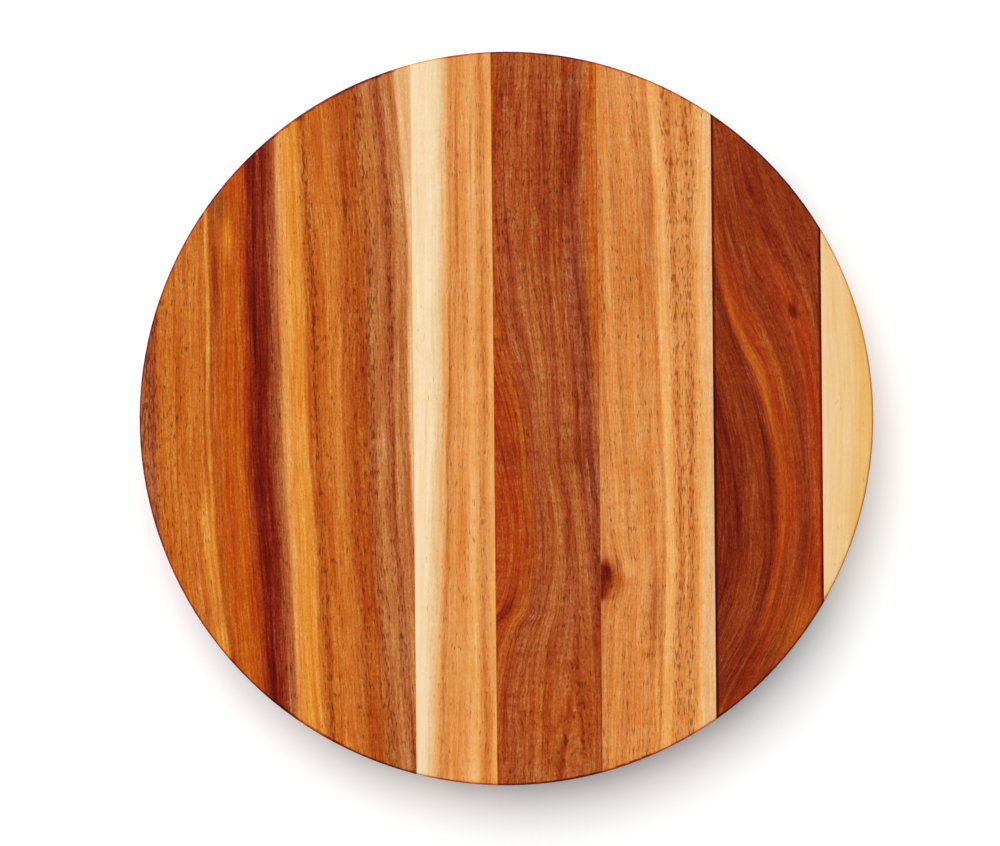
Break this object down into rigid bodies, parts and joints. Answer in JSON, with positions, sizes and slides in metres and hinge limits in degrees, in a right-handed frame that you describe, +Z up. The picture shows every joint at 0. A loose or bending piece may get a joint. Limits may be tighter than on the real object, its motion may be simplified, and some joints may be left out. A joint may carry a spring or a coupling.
{
  "type": "round chopping block",
  "caption": "Round face-grain chopping block: hardwood boards of unlike width and colour glued edge to edge, with eased rims and plain flat faces.",
  "frame": {"origin": "centre of the flat underside", "axes": "+Z up, square to the chopping face; +Y along the grain; the boards are numbered from -X to +X"},
  "size_m": [0.35, 0.35, 0.038],
  "materials": {
    "striped_heartwood": "satin",
    "pale_edged_wood": "satin",
    "red_brown_heartwood": "satin",
    "honey_wood": "satin",
    "dark_heartwood": "satin",
    "cream_sapwood": "satin",
    "wood_glue": "satin"
  },
  "bodies": {
    "root": {"board_1_striped": "striped_heartwood", "board_2_pale_edge": "pale_edged_wood", "board_3_red_brown": "red_brown_heartwood", "board_4_honey": "honey_wood", "board_5_dark": "dark_heartwood", "board_6_cream": "cream_sapwood", "glue_line_1_2": "wood_glue", "glue_line_2_3": "wood_glue", "glue_line_3_4": "wood_glue", "glue_line_4_5": "wood_glue", "glue_line_5_6": "wood_glue"}
  },
  "joints": []
}
